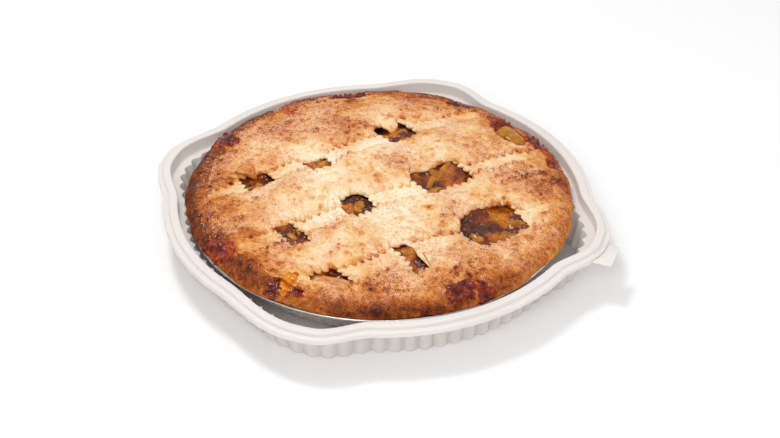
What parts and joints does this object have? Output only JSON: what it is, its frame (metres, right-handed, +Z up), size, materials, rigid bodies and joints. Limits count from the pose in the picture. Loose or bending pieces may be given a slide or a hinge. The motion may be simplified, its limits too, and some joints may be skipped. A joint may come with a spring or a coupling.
{
  "type": "lattice apple pie in foil tin and plastic tray",
  "caption": "Baked lattice apple pie with a thick rolled edge, in a round foil tin standing in a four-lobed fluted plastic tray with a pull tab.",
  "frame": {"origin": "centre of the tray's flat underside, which is also the centre of the pie", "axes": "+Z up through the pie's dome; +X to the side of the tray that carries the pull tab; -Y to the front"},
  "size_m": [0.2677, 0.2626, 0.039],
  "materials": {
    "tray": "satin off-white moulded plastic",
    "foil": "crimped foil",
    "crust": "browned shortcrust pastry, matt with sugar",
    "lattice": "pale golden pastry, matt with sugar",
    "filling": "glossy cooked apple filling",
    "apple_slice": "wet cooked apple"
  },
  "bodies": {
    "root": {"tray": "tray", "foil_tin": "foil", "pie_crust": "crust", "apple_filling": "filling", "apple_slice": "apple_slice", "strip_a_1": "lattice", "strip_a_2": "lattice", "strip_a_3": "lattice", "strip_a_4": "lattice", "strip_b_1": "lattice", "strip_b_2": "lattice", "strip_b_3": "lattice", "strip_b_4": "lattice"}
  },
  "joints": []
}
